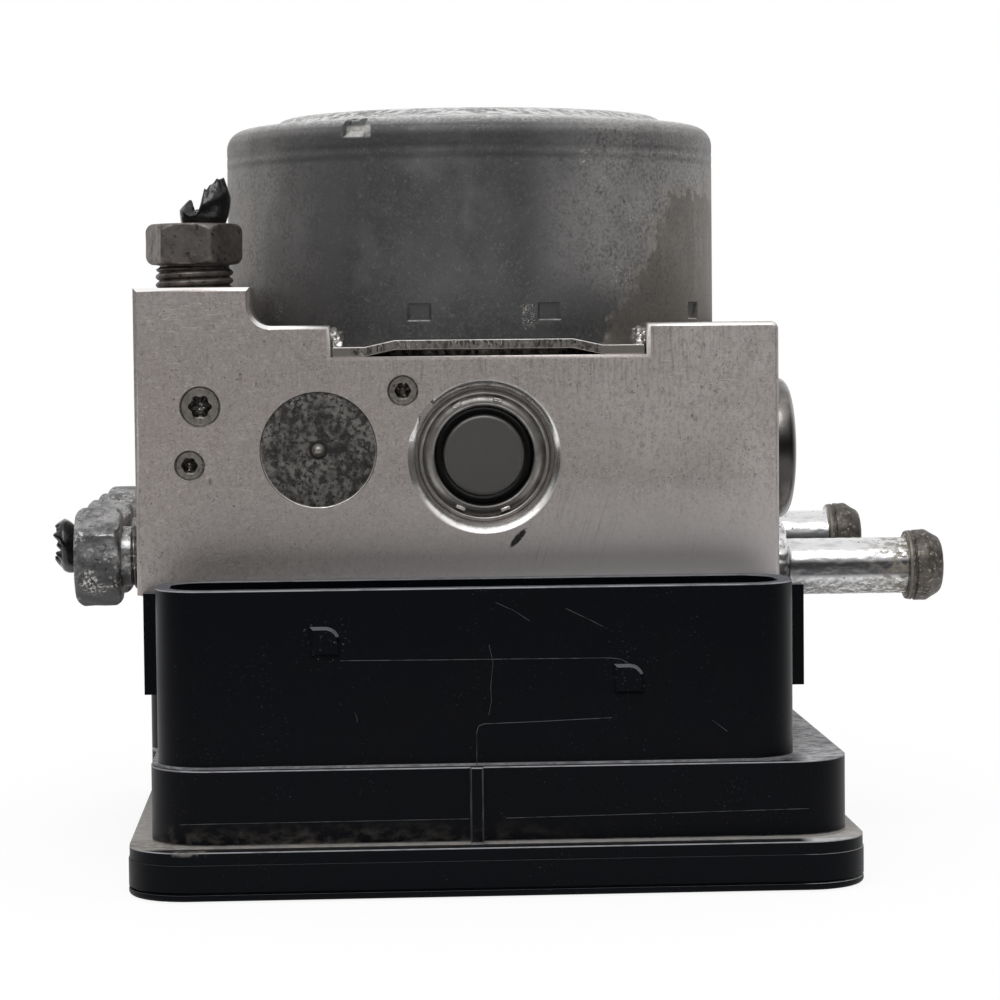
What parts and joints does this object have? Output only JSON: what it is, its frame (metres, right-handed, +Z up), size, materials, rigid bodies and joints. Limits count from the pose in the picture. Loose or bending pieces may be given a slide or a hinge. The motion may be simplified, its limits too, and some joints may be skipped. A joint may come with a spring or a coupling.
{
  "type": "abs brake module",
  "caption": "Brake-pressure modulator: drilled aluminium valve block with a pump motor on top, pipe nuts, hose spigots and a black control unit with a plug socket below.",
  "frame": {"origin": "on the pump motor's axis, in the plane of the control unit's bottom cover", "axes": "+Z up along the motor axis, +X towards the hose spigots, +Y away from the plug socket"},
  "size_m": [0.1393, 0.12, 0.117],
  "materials": {
    "cast_aluminium": "milled, satin",
    "can_steel": "matt grey zinc coat",
    "plate_steel": "pressed, bare",
    "bright_steel": "turned",
    "zinc_steel": "zinc plated, stained",
    "dark_steel": "blackened, dirty",
    "nut_steel": "zinc plated, corroded",
    "spring_steel": "drawn wire",
    "magnet": "ferrite",
    "copper": "enamelled wire",
    "carbon": "pressed carbon",
    "black_moulding": "moulded, glass filled",
    "holder_plastic": "moulded",
    "sleeve_black": "torn plastic over a cut pipe",
    "board": "solder mask",
    "seal": "moulded"
  },
  "bodies": {
    "module": {"hydraulic_block": "cast_aluminium", "motor_end_plate": "plate_steel", "motor_can": "can_steel", "motor_magnets": "magnet", "upper_bearing": "bright_steel", "lower_bearing": "bright_steel", "brush_holder": "holder_plastic", "motor_brushes": "carbon", "valve_cartridges": "bright_steel", "valve_coils": "black_moulding", "sealing_plugs": "dark_steel", "top_tube_nut": "dark_steel", "top_pipe_stub": "sleeve_black", "side_pipe_stub": "sleeve_black", "side_cap": "zinc_steel", "hose_spigot_front": "zinc_steel", "hose_spigot_back": "zinc_steel", "ecu_housing": "black_moulding", "ecu_cover": "black_moulding", "circuit_board": "board", "connector_pins": "bright_steel", "ecu_gasket": "seal", "ecu_screws": "bright_steel", "pump_spring_front": "spring_steel", "pump_plug_front": "bright_steel", "accumulator_cover_front": "dark_steel", "accumulator_spring_front": "spring_steel", "pump_spring_back": "spring_steel", "pump_plug_back": "bright_steel", "accumulator_cover_back": "dark_steel", "accumulator_spring_back": "spring_steel", "side_tube_nut_1": "nut_steel", "side_tube_nut_2": "nut_steel", "side_tube_nut_3": "nut_steel", "side_tube_nut_4": "nut_steel"},
    "rotor": {"rotor_shaft": "bright_steel", "commutator": "copper", "armature_core": "bright_steel", "armature_windings": "copper"},
    "eccentric": {"eccentric_ring": "bright_steel"},
    "pump_piston_front": {"pump_piston_front": "bright_steel"},
    "accumulator_piston_front": {"accumulator_piston_front": "cast_aluminium"},
    "pump_piston_back": {"pump_piston_back": "bright_steel"},
    "accumulator_piston_back": {"accumulator_piston_back": "cast_aluminium"},
    "valve_1": {"valve_armature_1": "bright_steel"},
    "valve_2": {"valve_armature_2": "bright_steel"},
    "valve_3": {"valve_armature_3": "bright_steel"},
    "valve_4": {"valve_armature_4": "bright_steel"},
    "valve_5": {"valve_armature_5": "bright_steel"},
    "valve_6": {"valve_armature_6": "bright_steel"},
    "valve_7": {"valve_armature_7": "bright_steel"},
    "valve_8": {"valve_armature_8": "bright_steel"},
    "valve_9": {"valve_armature_9": "bright_steel"},
    "valve_10": {"valve_armature_10": "bright_steel"},
    "valve_11": {"valve_armature_11": "bright_steel"},
    "valve_12": {"valve_armature_12": "bright_steel"}
  },
  "joints": [
    {"name": "rotor_spin", "type": "hinge", "parent": "module", "child": "rotor", "pos_m": [0, 0, 0.08], "axis": [0, 0, 1], "continuous": true},
    {"name": "eccentric_ring_spin", "type": "hinge", "parent": "rotor", "child": "eccentric", "pos_m": [0, 0.0008, 0.0629], "axis": [0, 0, 1], "continuous": true},
    {"name": "pump_piston_front_slide", "type": "slide", "parent": "module", "child": "pump_piston_front", "axis": [0, -1, 0], "range_m": [0, 0.0016], "stiffness_N_per_m": 300, "springref_m": -0.004, "deforming": ["pump_spring_front"]},
    {"name": "accumulator_piston_front_slide", "type": "slide", "parent": "module", "child": "accumulator_piston_front", "axis": [0, -1, 0], "range_m": [0, 0.008], "stiffness_N_per_m": 400, "springref_m": -0.004, "deforming": ["accumulator_spring_front"]},
    {"name": "pump_piston_back_slide", "type": "slide", "parent": "module", "child": "pump_piston_back", "axis": [0, 1, 0], "range_m": [0, 0.0016], "stiffness_N_per_m": 300, "springref_m": -0.004, "deforming": ["pump_spring_back"]},
    {"name": "accumulator_piston_back_slide", "type": "slide", "parent": "module", "child": "accumulator_piston_back", "axis": [0, 1, 0], "range_m": [0, 0.008], "stiffness_N_per_m": 400, "springref_m": -0.004, "deforming": ["accumulator_spring_back"]},
    {"name": "valve_1_lift", "type": "slide", "parent": "module", "child": "valve_1", "axis": [0, 0, 1], "range_m": [0, 0.0003], "stiffness_N_per_m": 50, "springref_m": -0.005},
    {"name": "valve_2_lift", "type": "slide", "parent": "module", "child": "valve_2", "axis": [0, 0, 1], "range_m": [0, 0.0003], "stiffness_N_per_m": 50, "springref_m": -0.005},
    {"name": "valve_3_lift", "type": "slide", "parent": "module", "child": "valve_3", "axis": [0, 0, 1], "range_m": [0, 0.0003], "stiffness_N_per_m": 50, "springref_m": -0.005},
    {"name": "valve_4_lift", "type": "slide", "parent": "module", "child": "valve_4", "axis": [0, 0, 1], "range_m": [0, 0.0003], "stiffness_N_per_m": 50, "springref_m": -0.005},
    {"name": "valve_5_lift", "type": "slide", "parent": "module", "child": "valve_5", "axis": [0, 0, 1], "range_m": [0, 0.0003], "stiffness_N_per_m": 50, "springref_m": -0.005},
    {"name": "valve_6_lift", "type": "slide", "parent": "module", "child": "valve_6", "axis": [0, 0, 1], "range_m": [0, 0.0003], "stiffness_N_per_m": 50, "springref_m": -0.005},
    {"name": "valve_7_lift", "type": "slide", "parent": "module", "child": "valve_7", "axis": [0, 0, 1], "range_m": [0, 0.0003], "stiffness_N_per_m": 50, "springref_m": -0.005},
    {"name": "valve_8_lift", "type": "slide", "parent": "module", "child": "valve_8", "axis": [0, 0, 1], "range_m": [0, 0.0003], "stiffness_N_per_m": 50, "springref_m": -0.005},
    {"name": "valve_9_lift", "type": "slide", "parent": "module", "child": "valve_9", "axis": [0, 0, 1], "range_m": [0, 0.0003], "stiffness_N_per_m": 50, "springref_m": -0.005},
    {"name": "valve_10_lift", "type": "slide", "parent": "module", "child": "valve_10", "axis": [0, 0, 1], "range_m": [0, 0.0003], "stiffness_N_per_m": 50, "springref_m": -0.005},
    {"name": "valve_11_lift", "type": "slide", "parent": "module", "child": "valve_11", "axis": [0, 0, 1], "range_m": [0, 0.0003], "stiffness_N_per_m": 50, "springref_m": -0.005},
    {"name": "valve_12_lift", "type": "slide", "parent": "module", "child": "valve_12", "axis": [0, 0, 1], "range_m": [0, 0.0003], "stiffness_N_per_m": 50, "springref_m": -0.005}
  ]
}
